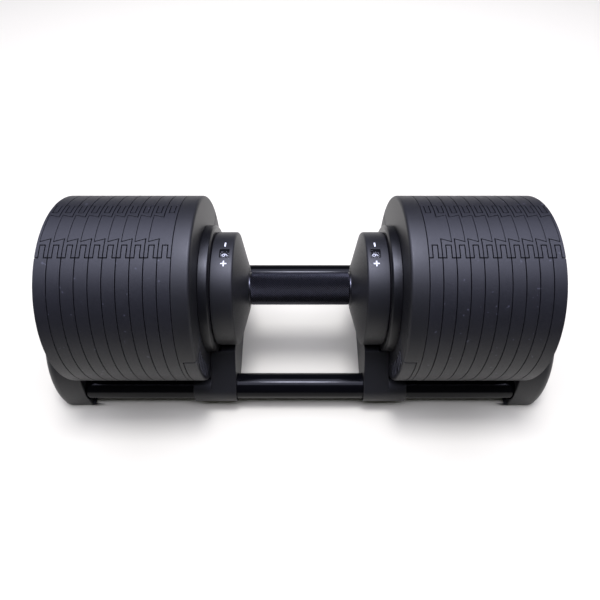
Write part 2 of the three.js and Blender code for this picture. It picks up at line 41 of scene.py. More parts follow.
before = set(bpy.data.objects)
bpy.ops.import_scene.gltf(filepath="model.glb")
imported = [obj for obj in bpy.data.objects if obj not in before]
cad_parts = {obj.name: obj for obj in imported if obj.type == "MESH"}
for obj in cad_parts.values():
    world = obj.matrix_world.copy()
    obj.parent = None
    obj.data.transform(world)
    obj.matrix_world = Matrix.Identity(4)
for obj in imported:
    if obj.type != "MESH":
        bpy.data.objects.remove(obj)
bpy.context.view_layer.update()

MM = 0.001
SIDES = (("left", -1), ("right", 1))
PLATES = 10


# ---- Sizes taken from the frame ------------------------------------------------------------------

def span(node, axis):
    """Where a CAD node begins and ends along axis 0, 1 or 2."""
    low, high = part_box(node)
    return low[axis], high[axis]


def radius_of(node):
    low, high = span(node, 1)
    return (high - low) / 2


AXIS_Z = sum(span("grip_sleeve", 2)) / 2
PLATE_RADIUS = radius_of("plate_right_10")
PLATE_X, PLATE_BACK = span("plate_right_10", 0)
PLATE_THICKNESS = PLATE_BACK - PLATE_X
PITCH = span("plate_right_03", 0)[0] - span("plate_right_02", 0)[0]
GAP = PITCH - PLATE_THICKNESS
TONGUE_TIP = span("plate_right_02", 0)[1] - span("plate_right_02", 0)[0]
DISC_X, DISC_BACK = span("right_inner_disc", 0)
COLLAR_BACK = span("right_collar", 0)[1]
COLLAR_RADIUS = radius_of("right_collar")
CUP_X, CUP_BACK = span("right_cup", 0)
CUP_RADIUS = radius_of("right_cup")
BUSH_X, BUSH_BACK = span("right_nose_bush", 0)
BUSH_RADIUS = radius_of("right_nose_bush")
GRIP_RADIUS = radius_of("grip_sleeve")
DIAL_X, DIAL_BACK = span("right_dial", 0)
DIAL_RADIUS = radius_of("right_dial")
BAR_RADIUS = radius_of("right_selector_bar")
ROD_TUBE_RADIUS = radius_of("left_selector_tube")
GUIDE_RADIUS = radius_of("guide_tube")
TUBE_RADIUS = radius_of("front_tube")
TUBE_END = span("front_tube", 0)[1]
TUBE_Y = sum(span("back_tube", 1)) / 2
TUBE_Z = sum(span("back_tube", 2)) / 2
BRACKET_X, BRACKET_BACK = span("right_end_bracket", 0)
BRACKET_RADIUS = radius_of("right_end_bracket")
BRACKET_LOW, BRACKET_TOP = span("right_end_bracket", 2)
SADDLE_X, SADDLE_BACK = span("right_saddle", 0)
SADDLE_TOP = span("right_saddle", 2)[1]
WINDOW_X = sum(span("right_window", 0)) / 2


# ---- Settings a user may change ------------------------------------------------------------------

def linear(code):
    """An sRGB hex colour as linear red, green and blue."""
    channels = [int(code[i:i + 2], 16) / 255 for i in (1, 3, 5)]
    return [c / 12.92 if c <= 0.04045 else ((c + 0.055) / 1.055) ** 2.4 for c in channels]


def colour(name, code, description):
    return FloatVectorProperty(
        name=name, description=description, default=linear(code), subtype="COLOR", min=0, max=1
    )


def length(name, millimetres, description):
    return FloatProperty(
        name=name, description=description, default=millimetres * MM, unit="LENGTH", subtype="DISTANCE", min=0
    )


class DumbbellSizes(bpy.types.PropertyGroup):
    """Sizes of the visible detail; the main sizes come from the frame."""

    plate_edge: length("Plate edge", 0.3, "Rounding of every edge of a plate")
    seam: length("Seam", 0.6, "Open line between two plates and round an insert")
    insert_shoulder: length("Insert shoulder", 28.6, "From the middle of a plate to the edge of its insert")
    tenon_tip: length("Tenon tip", 17.9, "From the middle of a plate to the end of a tenon")
    tenon_thickness: length("Tenon thickness", 3.7, "Thickness of the tenons that hold the insert")
    tongue_root: length("Tongue root", 11.5, "Half width of the dovetail tongue at its root")
    tongue_tip: length("Tongue tip", 14.2, "Half width of the dovetail tongue at its tip")
    knurl_pitch: length("Knurl pitch", 2.2, "Width of one diamond of the knurl")
    knurl_depth: length("Knurl depth", 0.7, "Depth of the knurl's grooves")
    digit_height: length("Digit height", 5.4, "Height of the numbers on the dial")
    mark_height: length("Mark height", 5.4, "Size of the plus and minus marks on the cups")


class DumbbellColours(bpy.types.PropertyGroup):
    """Colours of the finishes."""

    coat: colour("Powder coat", "#141418", "Matt black coat on the plates")
    nylon: colour("Nylon", "#141416", "Moulded black plastic of the housings and brackets")
    enamel: colour("Enamel", "#060608", "Gloss black on the tray tubes")
    oxide: colour("Black oxide", "#3a3a3f", "Knurled steel of the grip")
    acetal: colour("Acetal", "#0b0b0d", "Black plastic of the dials and bushes")
    ink: colour("Ink", "#eceef2", "White print of the numbers and marks")
    steel: colour("Steel", "#b9bbc0", "Bare ground steel of the selector")
    rubber: colour("Rubber", "#1a1a1a", "Pads under the tray")


# ---- Mesh helpers --------------------------------------------------------------------------------

FINE_ROUND = 200
MIDDLE_ROUND = 96
SMALL_ROUND = 48
FLAT_ANGLE = math.radians(0.5)


def as_object(shape, name, material=None):
    """Closes a bmesh, turns its faces outwards and makes it an object at the origin."""
    bmesh.ops.remove_doubles(shape, verts=shape.verts, dist=1e-6)
    bmesh.ops.dissolve_degenerate(shape, dist=1e-7, edges=shape.edges)
    bmesh.ops.recalc_face_normals(shape, faces=shape.faces)
    for face in shape.faces:
        face.smooth = True
    mesh = bpy.data.meshes.new(name)
    shape.to_mesh(mesh)
    shape.free()
    piece = bpy.data.objects.new(name, mesh)
    bpy.context.scene.collection.objects.link(piece)
    if material:
        mesh.materials.append(material)
    return piece


def bake(piece):
    """Applies the piece's modifiers."""
    graph = bpy.context.evaluated_depsgraph_get()
    mesh = bpy.data.meshes.new_from_object(piece.evaluated_get(graph))
    old = piece.data
    piece.modifiers.clear()
    piece.data = mesh
    bpy.data.meshes.remove(old)
    return piece


def combine(piece, *tools, operation="DIFFERENCE"):
    """Cuts the tools from a piece, joins them to it, or keeps what it shares with them."""
    for tool in tools:
        modifier = piece.modifiers.new("combine", "BOOLEAN")
        modifier.object = tool
        modifier.operation = operation
        modifier.solver = "EXACT"
        bake(piece)
        bpy.data.objects.remove(tool)
    return piece


def weld(piece, distance=0.03 * MM):
    """Merges slivers that a boolean leaves and the flat faces beside them, so that rounding stays clean."""
    shape = bmesh.new()
    shape.from_mesh(piece.data)
    bmesh.ops.remove_doubles(shape, verts=shape.verts, dist=distance)
    bmesh.ops.dissolve_limit(
        shape, angle_limit=FLAT_ANGLE, verts=shape.verts, edges=shape.edges, use_dissolve_boundaries=False
    )
    shape.to_mesh(piece.data)
    shape.free()


def soften(piece, width, segments=2, angle=35):
    """Rounds every edge sharper than the angle and keeps the flat faces flat."""
    modifier = piece.modifiers.new("soften", "BEVEL")
    modifier.width = width
    modifier.segments = segments
    modifier.limit_method = "ANGLE"
    modifier.angle_limit = math.radians(angle)
    modifier.use_clamp_overlap = False
    modifier.harden_normals = True
    return bake(piece)


def facing(shape, points, rounding):
    """A flat face through the points; rounding gives the radius of a corner by its number."""
    corners = [shape.verts.new(point) for point in points]
    shape.faces.new(corners)
    for number, radius in rounding.items():
        bmesh.ops.bevel(
            shape, geom=[corners[number]], offset=radius, segments=6, profile=0.5,
            affect="VERTICES", material=-1,
        )


def turned(points, steps, rounding=None, sign=1, centre=(0, 0, 0)):
    """A bmesh turned about the X axis from a closed profile of (x, radius) points."""
    shape = bmesh.new()
    facing(shape, [(x, 0, radius) for x, radius in points], rounding or {})
    bmesh.ops.delete(shape, geom=shape.faces[:], context="FACES_ONLY")
    bmesh.ops.spin(
        shape, geom=shape.verts[:] + shape.edges[:], cent=(0, 0, 0), axis=(1, 0, 0),
        dvec=(0, 0, 0), angle=2 * math.pi, steps=steps, use_merge=True, use_duplicate=False,
    )
    bmesh.ops.scale(shape, vec=(sign, 1, 1), verts=shape.verts)
    bmesh.ops.translate(shape, vec=centre, verts=shape.verts)
    return shape


def ring_points(start, end, inner, outer):
    return [(start, inner), (start, outer), (end, outer), (end, inner)]


def cylinder(start, end, radius, steps=FINE_ROUND, centre=(0, 0, AXIS_Z), sign=1):
    """A round bar along X, as a bmesh."""
    shape = bmesh.new()
    bmesh.ops.create_cone(
        shape, cap_ends=True, segments=steps, radius1=radius, radius2=radius, depth=end - start
    )
    bmesh.ops.rotate(shape, matrix=Matrix.Rotation(math.pi / 2, 3, "Y"), verts=shape.verts)
    bmesh.ops.translate(shape, vec=((start + end) / 2, 0, 0), verts=shape.verts)
    bmesh.ops.scale(shape, vec=(sign, 1, 1), verts=shape.verts)
    bmesh.ops.translate(shape, vec=centre, verts=shape.verts)
    return shape


def box(low, high, sign=1):
    """A block between two corners, as a bmesh."""
    low, high = Vector(low), Vector(high)
    shape = bmesh.new()
    bmesh.ops.create_cube(shape, size=1)
    bmesh.ops.scale(shape, vec=high - low, verts=shape.verts)
    bmesh.ops.translate(shape, vec=(low + high) / 2, verts=shape.verts)
    bmesh.ops.scale(shape, vec=(sign, 1, 1), verts=shape.verts)
    return shape


def prism(points, rounding, low, high, axis):
    """A flat outline pushed along X or Z. The points are (y, z) for X and (x, y) for Z."""
    shape = bmesh.new()
    placed = [(low, *p) if axis == "X" else (*p, low) for p in points]
    facing(shape, placed, rounding)
    push = (high - low, 0, 0) if axis == "X" else (0, 0, high - low)
    made = bmesh.ops.extrude_face_region(shape, geom=shape.faces[:])["geom"]
    moved = [item for item in made if isinstance(item, bmesh.types.BMVert)]
    bmesh.ops.translate(shape, vec=push, verts=moved)
    return shape


def settle(piece, body, slot_name, *nodes):
    """A finished piece rides on its body and stands for its CAD nodes."""
    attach(piece, body)
    if nodes:
        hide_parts(*nodes)
    return piece


# ---- Materials -----------------------------------------------------------------------------------

def add(tree, kind, inputs=None, **settings):
    """Adds a shader node, sets it up and fills its inputs with values or links."""
    node = tree.nodes.new(kind)
    for name, value in settings.items():
        setattr(node, name, value)
    for name, value in (inputs or {}).items():
        if isinstance(value, bpy.types.NodeSocket):
            tree.links.new(value, node.inputs[name])
        else:
            node.inputs[name].default_value = value
    return node


def start_material(name):
    material = bpy.data.materials.get(name)
    if material:
        return material, None
    material = bpy.data.materials.new(name)
    material.use_nodes = True
    material.node_tree.nodes.clear()
    return material, material.node_tree


def end_material(tree, shader):
    add(tree, "ShaderNodeOutputMaterial", {"Surface": shader.outputs["BSDF"]})


def per_metre(millimetres):
    """Scale of a noise whose features are that many millimetres wide."""
    return 1 / (millimetres * MM)


def shade(rgb, factor):
    return (*[min(1, c * factor) for c in rgb], 1)


def grainy(name, rgb, roughness, grain, depth, variation, shine=0.36):
    """A dielectric skin with fine grain, cloudy tone and a roughness that wanders a little."""
    material, tree = start_material(name)
    if tree is None:
        return material
    place = add(tree, "ShaderNodeTexCoord").outputs["Object"]
    cloud = add(tree, "ShaderNodeTexNoise", {"Vector": place, "Scale": per_metre(24), "Detail": 3.0})
    fine = add(tree, "ShaderNodeTexNoise", {"Vector": place, "Scale": per_metre(grain), "Detail": 2.0})
    tone = add(tree, "ShaderNodeMix", {"Factor": cloud.outputs["Fac"]}, data_type="RGBA")
    tone.inputs["A"].default_value = shade(rgb, 1 - variation)
    tone.inputs["B"].default_value = shade(rgb, 1 + variation)
    rough = add(
        tree, "ShaderNodeMapRange",
        {"Value": fine.outputs["Fac"], "From Min": 0.3, "From Max": 0.7,
         "To Min": roughness - 0.05, "To Max": roughness + 0.07},
    )
    bump = add(
        tree, "ShaderNodeBump", {"Height": fine.outputs["Fac"], "Strength": 0.5, "Distance": depth * MM}
    )
    shader = add(
        tree, "ShaderNodeBsdfPrincipled",
        {"Base Color": tone.outputs["Result"], "Roughness": rough.outputs["Result"],
         "Normal": bump.outputs["Normal"], "IOR": 1.5, "Specular IOR Level": shine},
    )
    end_material(tree, shader)
    return material


def powder_coat():
    """Polyester powder coat on steel: matt black with a fine orange peel and small pale scuffs."""
    name = "powder_coated_steel"
    material, tree = start_material(name)
    if tree is None:
        return material
    rgb = bpy.context.scene.dumbbell_colours.coat
    place = add(tree, "ShaderNodeTexCoord").outputs["Object"]
    cloud = add(tree, "ShaderNodeTexNoise", {"Vector": place, "Scale": per_metre(12), "Detail": 5.0})
    tone = add(tree, "ShaderNodeMix", {"Factor": cloud.outputs["Fac"]}, data_type="RGBA")
    tone.inputs["A"].default_value = shade(rgb, 0.82)
    tone.inputs["B"].default_value = shade(rgb, 1.2)
    # Real orange peel is about 0.5 mm; it is drawn twice as coarse so that it shows.
    peel = add(tree, "ShaderNodeTexNoise", {"Vector": place, "Scale": per_metre(1.1), "Detail": 2.0})
    specks = add(tree, "ShaderNodeTexNoise", {"Vector": place, "Scale": per_metre(3.2), "Detail": 0.0})
    speck = add(
        tree, "ShaderNodeMapRange",
        {"Value": specks.outputs["Fac"], "From Min": 0.8, "From Max": 0.84, "To Min": 0.0, "To Max": 0.5},
    )
    worn = add(
        tree, "ShaderNodeMix", {"Factor": speck.outputs["Result"], "A": tone.outputs["Result"]},
        data_type="RGBA",
    )
    worn.inputs["B"].default_value = shade(rgb, 9)
    rough = add(
        tree, "ShaderNodeMapRange",
        {"Value": peel.outputs["Fac"], "From Min": 0.3, "From Max": 0.7, "To Min": 0.42, "To Max": 0.54},
    )
    bump = add(
        tree, "ShaderNodeBump", {"Height": peel.outputs["Fac"], "Strength": 0.5, "Distance": 0.11 * MM}
    )
    shader = add(
        tree, "ShaderNodeBsdfPrincipled",
        {"Base Color": worn.outputs["Result"], "Roughness": rough.outputs["Result"],
         "Normal": bump.outputs["Normal"], "IOR": 1.5, "Specular IOR Level": 0.36},
    )
    end_material(tree, shader)
    return material


def moulded_nylon():
    """Glass-filled nylon, injection moulded with a light spark-eroded texture: satin, faintly cloudy."""
    return grainy("moulded_nylon", bpy.context.scene.dumbbell_colours.nylon, 0.46, 0.9, 0.03, 0.12)


def insert_nylon():
    """The same nylon on the plate inserts, a touch duller than the coat beside it."""
    rgb = bpy.context.scene.dumbbell_colours.coat
    return grainy("moulded_nylon_insert", rgb, 0.5, 1.0, 0.04, 0.14)


def moulded_acetal():
    """Acetal, moulded smooth: a deep, slightly waxy black."""
    return grainy("moulded_acetal", bpy.context.scene.dumbbell_colours.acetal, 0.34, 1.2, 0.01, 0.1)


def moulded_rubber():
    """Moulded rubber: dead matt, with a fine dusty grain."""
    return grainy("moulded_rubber", bpy.context.scene.dumbbell_colours.rubber, 0.85, 0.8, 0.06, 0.2)


def gloss_enamel():
    """Baked enamel on drawn tube: a deep gloss with long, faint waves in its reflections."""
    material, tree = start_material("baked_enamel")
    if tree is None:
        return material
    rgb = bpy.context.scene.dumbbell_colours.enamel
    place = add(tree, "ShaderNodeTexCoord").outputs["Object"]
    drawn = add(tree, "ShaderNodeMapping", {"Vector": place, "Scale": (0.08, 1, 1)})
    wave = add(
        tree, "ShaderNodeTexNoise", {"Vector": drawn.outputs["Vector"], "Scale": per_metre(3), "Detail": 2.0}
    )
    rough = add(
        tree, "ShaderNodeMapRange",
        {"Value": wave.outputs["Fac"], "From Min": 0.3, "From Max": 0.7, "To Min": 0.1, "To Max": 0.2},
    )
    tone = add(tree, "ShaderNodeMix", {"Factor": wave.outputs["Fac"]}, data_type="RGBA")
    tone.inputs["A"].default_value = shade(rgb, 0.8)
    tone.inputs["B"].default_value = shade(rgb, 1.3)
    bump = add(
        tree, "ShaderNodeBump", {"Height": wave.outputs["Fac"], "Strength": 0.3, "Distance": 0.02 * MM}
    )
    shader = add(
        tree, "ShaderNodeBsdfPrincipled",
        {"Base Color": tone.outputs["Result"], "Roughness": rough.outputs["Result"],
         "Normal": bump.outputs["Normal"], "IOR": 1.5, "Specular IOR Level": 0.12},
    )
    end_material(tree, shader)
    return material


def steel(name, rgb, roughness, stretch):
    """Steel with the fine lines that turning or grinding leaves round it."""
    material, tree = start_material(name)
    if tree is None:
        return material
    place = add(tree, "ShaderNodeTexCoord").outputs["Object"]
    lines = add(tree, "ShaderNodeMapping", {"Vector": place, "Scale": (1, stretch, stretch)})
    grain = add(
        tree, "ShaderNodeTexNoise",
        {"Vector": lines.outputs["Vector"], "Scale": per_metre(0.5), "Detail": 3.0},
    )
    cloud = add(tree, "ShaderNodeTexNoise", {"Vector": place, "Scale": per_metre(9), "Detail": 3.0})
    tone = add(tree, "ShaderNodeMix", {"Factor": cloud.outputs["Fac"]}, data_type="RGBA")
    tone.inputs["A"].default_value = shade(rgb, 0.8)
    tone.inputs["B"].default_value = shade(rgb, 1.15)
    rough = add(
        tree, "ShaderNodeMapRange",
        {"Value": grain.outputs["Fac"], "From Min": 0.3, "From Max": 0.7,
         "To Min": roughness - 0.06, "To Max": roughness + 0.1},
    )
    bump = add(
        tree, "ShaderNodeBump", {"Height": grain.outputs["Fac"], "Strength": 0.35, "Distance": 0.015 * MM}
    )
    shader = add(
        tree, "ShaderNodeBsdfPrincipled",
        {"Base Color": tone.outputs["Result"], "Metallic": 1.0, "Roughness": rough.outputs["Result"],
         "Normal": bump.outputs["Normal"]},
    )
    end_material(tree, shader)
    return material


def ground_steel():
    """Ground tool steel: bright, with fine lines round the bar."""
    return steel("ground_steel", bpy.context.scene.dumbbell_colours.steel, 0.28, 0.05)


def blackened_steel():
    """Black oxide on knurled steel; its colour is painted darker in the grooves as painted shade and lighter
    on the tips of the diamonds as a painted highlight.
    """
    material, tree = start_material("black_oxide_steel")
    if tree is None:
        return material
    rgb = bpy.context.scene.dumbbell_colours.oxide
    groove = GRIP_RADIUS - bpy.context.scene.dumbbell_sizes.knurl_depth
    place = add(tree, "ShaderNodeTexCoord").outputs["Object"]
    section = add(
        tree, "ShaderNodeMapping", {"Vector": place, "Location": (0, 0, -AXIS_Z), "Scale": (0, 1, 1)}
    )
    reach = add(tree, "ShaderNodeVectorMath", {"Vector": section.outputs["Vector"]}, operation="LENGTH")
    # Painted light: the colour runs from painted shade at the bottom of a groove to a painted highlight on
    # the tip of a diamond.
    tip = add(
        tree, "ShaderNodeMapRange",
        {"Value": reach.outputs["Value"], "From Min": groove, "From Max": GRIP_RADIUS},
    )
    tone = add(tree, "ShaderNodeMix", {"Factor": tip.outputs["Result"]}, data_type="RGBA")
    tone.inputs["A"].default_value = shade(rgb, 0.15)
    tone.inputs["B"].default_value = shade(rgb, 3.2)
    grain = add(tree, "ShaderNodeTexNoise", {"Vector": place, "Scale": per_metre(0.5), "Detail": 3.0})
    rough = add(
        tree, "ShaderNodeMapRange",
        {"Value": grain.outputs["Fac"], "From Min": 0.3, "From Max": 0.7, "To Min": 0.24, "To Max": 0.4},
    )
    shader = add(
        tree, "ShaderNodeBsdfPrincipled",
        {"Base Color": tone.outputs["Result"], "Metallic": 1.0, "Roughness": rough.outputs["Result"]},
    )
    end_material(tree, shader)
    return material


def printed_ink():
    """Screen-printed epoxy ink: flat white with a slightly uneven edge-to-edge density."""
    return grainy("screen_print_ink", bpy.context.scene.dumbbell_colours.ink, 0.5, 0.6, 0.005, 0.06)


def clear_acrylic():
    """Cast acrylic: clear and glossy, so the numbers show through it."""
    material, tree = start_material("cast_acrylic")
    if tree is None:
        return material
    place = add(tree, "ShaderNodeTexCoord").outputs["Object"]
    haze = add(tree, "ShaderNodeTexNoise", {"Vector": place, "Scale": per_metre(2), "Detail": 2.0})
    rough = add(
        tree, "ShaderNodeMapRange",
        {"Value": haze.outputs["Fac"], "From Min": 0.3, "From Max": 0.7, "To Min": 0.03, "To Max": 0.09},
    )
    shader = add(
        tree, "ShaderNodeBsdfPrincipled",
        {"Base Color": (0.02, 0.02, 0.022, 1), "Roughness": rough.outputs["Result"],
         "IOR": 1.49, "Alpha": 0.16},
    )
    end_material(tree, shader)
    return material


# ---- Plates --------------------------------------------------------------------------------------

def plate_faces():
    """Where a plate's two faces lie: an even seam is left open between neighbours."""
    inset = (bpy.context.scene.dumbbell_sizes.seam - GAP) / 2
    return inset, PLATE_THICKNESS - inset


def steel_outline(y_sign):
    """Plan of one half of the steel disc, with the tenon that keys into the insert."""
    sizes = bpy.context.scene.dumbbell_sizes
    near, far = plate_faces()
    start = (PLATE_THICKNESS - sizes.tenon_thickness) / 2
    end = start + sizes.tenon_thickness
    shoulder, tip, rim = sizes.insert_shoulder, sizes.tenon_tip, PLATE_RADIUS * 1.1
    half = [(near, shoulder), (start, shoulder), (start, tip), (end, tip), (end, shoulder),
            (far, shoulder), (far, rim), (near, rim)]
    return [(x, y * y_sign) for x, y in half]


def insert_outline(number):
    """Plan of the insert: slot for the inner neighbour's tongue, grooves for the tenons, own tongue."""
    sizes = bpy.context.scene.dumbbell_sizes
    near, far = plate_faces()
    start = (PLATE_THICKNESS - sizes.tenon_thickness) / 2 - sizes.seam
    end = start + sizes.tenon_thickness + 2 * sizes.seam
    shoulder, tip = sizes.insert_shoulder - sizes.seam, sizes.tenon_tip - sizes.seam
    side = [(near, shoulder), (start, shoulder), (start, tip), (end, tip), (end, shoulder), (far, shoulder)]
    if number < PLATES:
        side += [(far, sizes.tongue_root), (TONGUE_TIP, sizes.tongue_tip)]
    if number > 1:
        depth = TONGUE_TIP - PITCH + GAP
        side = [(depth, sizes.tongue_tip + sizes.seam), (near, sizes.tongue_root + sizes.seam)] + side
    return side + [(x, -y) for x, y in reversed(side)]


def plate_blank(sign):
    """The round outline that trims both parts of a plate."""
    return as_object(cylinder(-MM, TONGUE_TIP + MM, PLATE_RADIUS, centre=(0, 0, 0), sign=sign), "blank")


def upright(points, sign):
    """An outline pushed up through the whole height of a plate."""
    reach = PLATE_RADIUS * 1.1
    return prism([(x * sign, y) for x, y in points], {}, -reach, reach, "Z")


def steel_part(sign):
    """Both halves of a plate's steel, at the plate's own origin."""
    halves = [as_object(upright(steel_outline(y_sign), sign), "half") for y_sign in (-1, 1)]
    combine(halves[0], halves[1], operation="UNION")
    combine(halves[0], plate_blank(sign), operation="INTERSECT")
    return soften(halves[0], bpy.context.scene.dumbbell_sizes.plate_edge)


def insert_part(number, sign, hole_radius):
    """A plate's insert with its hole for the selector, at the plate's own origin."""
    part = as_object(upright(insert_outline(number), sign), "insert")
    combine(part, plate_blank(sign), operation="INTERSECT")
    hole = cylinder(-MM, TONGUE_TIP + MM, hole_radius, SMALL_ROUND, (0, 0, 0), sign)
    combine(part, as_object(hole, "hole"))
    return soften(part, bpy.context.scene.dumbbell_sizes.plate_edge)


def placed_copy(pattern, name, offset, material):
    """A copy of a pattern whose place is in its mesh."""
    mesh = pattern.data.copy()
    mesh.name = name
    mesh.transform(Matrix.Translation(offset))
    mesh.materials.clear()
    mesh.materials.append(material)
    piece = bpy.data.objects.new(name, mesh)
    bpy.context.scene.collection.objects.link(piece)
    return piece


def plate_body(side, number):
    return "handle" if number == 1 else f"plate_{side}_{number:02d}"


class DUMBBELL_OT_plates(bpy.types.Operator):
    """Build the twenty plates, each a steel disc keyed to an insert with a dovetail"""

    bl_idname = "dumbbell.plates"
    bl_label = "Plates"

    def execute(self, context):
        for side, sign in SIDES:
            rod = ROD_TUBE_RADIUS if side == "left" else BAR_RADIUS
            steel_pattern = steel_part(sign)
            inserts = {n: insert_part(n, sign, rod + GAP * 1.6) for n in (1, 2, PLATES)}
            for number in range(1, PLATES + 1):
                node = f"plate_{side}_{number:02d}"
                low, high = span(node, 0)
                offset = (low if sign > 0 else high, 0, AXIS_Z)
                body = plate_body(side, number)
                disc = placed_copy(steel_pattern, f"{node}_disc", offset, powder_coat())
                settle(disc, body, "coated_steel", node)
                pattern = inserts[number if number in inserts else 2]
                insert = placed_copy(pattern, f"{node}_insert", offset, insert_nylon())
                settle(insert, body, "coated_steel", node)
            for pattern in (steel_pattern, *inserts.values()):
                bpy.data.objects.remove(pattern)
        return {"FINISHED"}


# ---- Inner discs, collars and cups ---------------------------------------------------------------

APRON_STEP = 3.4 * MM
APRON_TOP = 15 * MM
SLOT_HEIGHT = 4.0 * MM
SLOT_PITCH = 6.6 * MM
SLOT_COUNT = 7
SLOT_DEPTH = 8 * MM


def apron_block(margin, sign):
    """The lower part of the inner disc, which is a separate facing almost as wide as the disc."""
    reach = PLATE_RADIUS * 1.1
    high = (DISC_BACK - APRON_STEP - margin, reach, AXIS_Z + APRON_TOP - margin)
    return box((DISC_X - MM, -reach, AXIS_Z - reach), high, sign)


class DUMBBELL_OT_inner_discs(bpy.types.Operator):
    """Build the inner disc of each side with its lower facing and the slots in its face"""

    bl_idname = "dumbbell.inner_discs"
    bl_label = "Inner discs"

    def execute(self, context):
        for side, sign in SIDES:
            bore = GUIDE_RADIUS + GAP
            centre = (0, 0, AXIS_Z)
            profile = ring_points(DISC_X, DISC_BACK, bore, PLATE_RADIUS)
            disc = turned(profile, FINE_ROUND, {1: 3 * MM}, sign, centre)
            disc = as_object(disc, f"{side}_inner_disc_housing", moulded_nylon())
            profile = ring_points(DISC_X, DISC_BACK, PLATE_RADIUS * 0.6, PLATE_RADIUS)
            facing_part = turned(profile, FINE_ROUND, {1: 3 * MM}, sign, centre)
            apron = as_object(facing_part, f"{side}_inner_disc_facing", powder_coat())
            combine(disc, as_object(apron_block(0, sign), "tool"))
            seam = context.scene.dumbbell_sizes.seam
            combine(apron, as_object(apron_block(seam, sign), "tool"), operation="INTERSECT")
            for number in range(SLOT_COUNT):
                middle = AXIS_Z + 7 * MM - number * SLOT_PITCH
                y = -math.sqrt((PLATE_RADIUS * 0.95) ** 2 - (middle - AXIS_Z) ** 2)
                low = (DISC_X - MM, y, middle - SLOT_HEIGHT / 2)
                slot = box(low, (DISC_X + SLOT_DEPTH, y + 13 * MM, middle + SLOT_HEIGHT / 2), sign)
                combine(apron, as_object(slot, "slot"))
            for piece in (disc, apron):
                soften(piece, 0.35 * MM)
                settle(piece, "handle", "black_plastic", f"{side}_inner_disc")
        return {"FINISHED"}


class DUMBBELL_OT_collars(bpy.types.Operator):
    """Build the collar ring behind each cup"""

    bl_idname = "dumbbell.collars"
    bl_label = "Collars"

    def execute(self, context):
        start = CUP_BACK + GAP
        for side, sign in SIDES:
            profile = [
                (start, GUIDE_RADIUS + GAP), (start, COLLAR_RADIUS - 2 * MM),
                (start + 1.4 * MM, COLLAR_RADIUS),
                (COLLAR_BACK, COLLAR_RADIUS), (COLLAR_BACK, GUIDE_RADIUS + GAP),
            ]
            shape = turned(profile, FINE_ROUND, {2: 0.6 * MM, 1: 0.5 * MM}, sign, (0, 0, AXIS_Z))
            collar = as_object(shape, f"{side}_collar_ring", moulded_acetal())
            soften(collar, 0.3 * MM)
            settle(collar, "handle", "black_plastic", f"{side}_collar")
        return {"FINISHED"}


NOSE_RADIUS = 20 * MM
NOSE_DEPTH = 10.3 * MM
CUP_WALL = 2.4 * MM
PANE_THICKNESS = 1.1 * MM


def cup_shell(sign):
    """Barrel and cone of a cup as one moulding of even wall, with rounded corners."""
    bore = BUSH_RADIUS + GAP
    slope = NOSE_DEPTH / (CUP_RADIUS - NOSE_RADIUS)
    cone_wall = CUP_WALL * math.hypot(1, slope)
    corner = CUP_X + NOSE_DEPTH + cone_wall - CUP_WALL * slope
    profile = [
        (CUP_X, bore), (CUP_X, NOSE_RADIUS), (CUP_X + NOSE_DEPTH, CUP_RADIUS), (CUP_BACK, CUP_RADIUS),
        (CUP_BACK, CUP_RADIUS - CUP_WALL), (corner, CUP_RADIUS - CUP_WALL),
        (CUP_X + cone_wall, NOSE_RADIUS), (CUP_X + cone_wall, bore),
    ]
    rounding = {2: 1.6 * MM, 1: 1 * MM, 3: 0.6 * MM}
    return turned(profile, FINE_ROUND, rounding, sign, (0, 0, AXIS_Z))


def window_tool(side, sign):
    """The block that cuts a cup's window, a little larger than the pane."""
    low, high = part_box(f"{side}_window")
    margin = Vector((GAP, GAP, 3 * MM))
    shape = box(low - margin, high + margin)
    uprights = [e for e in shape.edges if abs(e.verts[0].co.z - e.verts[1].co.z) > MM]
    bmesh.ops.bevel(
        shape, geom=uprights, offset=0.7 * MM, segments=4, profile=0.5, affect="EDGES", material=-1
    )
    return as_object(shape, "tool")


class DUMBBELL_OT_cups(bpy.types.Operator):
    """Build each cup with its window, clear pane and nose bush"""

    bl_idname = "dumbbell.cups"
    bl_label = "Cups"

    def execute(self, context):
        for side, sign in SIDES:
            cup = as_object(cup_shell(sign), f"{side}_cup_shell", moulded_nylon())
            combine(cup, window_tool(side, sign))
            soften(cup, 0.22 * MM)
            settle(cup, "handle", "black_plastic", f"{side}_cup")
            low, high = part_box(f"{side}_window")
            outer = CUP_RADIUS - GAP / 2
            start, end = sorted((abs(low.x), abs(high.x)))
            profile = ring_points(start, end, outer - PANE_THICKNESS, outer)
            band = turned(profile, FINE_ROUND, None, sign, (0, 0, AXIS_Z))
            pane = as_object(band, f"{side}_window_pane", clear_acrylic())
            reach = Vector((MM, 0, 3 * MM))
            combine(pane, as_object(box(low - reach, high + reach), "tool"), operation="INTERSECT")
            soften(pane, 0.15 * MM)
            settle(pane, "handle", "clear_pane", f"{side}_window")
            profile = ring_points(BUSH_X, BUSH_BACK, GRIP_RADIUS + GAP, BUSH_RADIUS)
            bush = as_object(
                turned(profile, MIDDLE_ROUND, {1: 0.6 * MM, 0: 0.5 * MM}, sign, (0, 0, AXIS_Z)),
                f"{side}_nose_ring", moulded_acetal(),
            )
            soften(bush, 0.15 * MM)
            settle(bush, "handle", "dial_plastic", f"{side}_nose_bush")
        return {"FINISHED"}


# ---- Numbers and marks ---------------------------------------------------------------------------

PRINT_THICKNESS = 0.08 * MM
PLUS_ANGLE = -math.radians(11.35)
MINUS_ANGLE = math.radians(11.2)
CLICK_ANGLE = math.radians(36)
FIRST_WEIGHT = 6
WEIGHT_STEP = 4
DIAL_WALL = 2.4 * MM


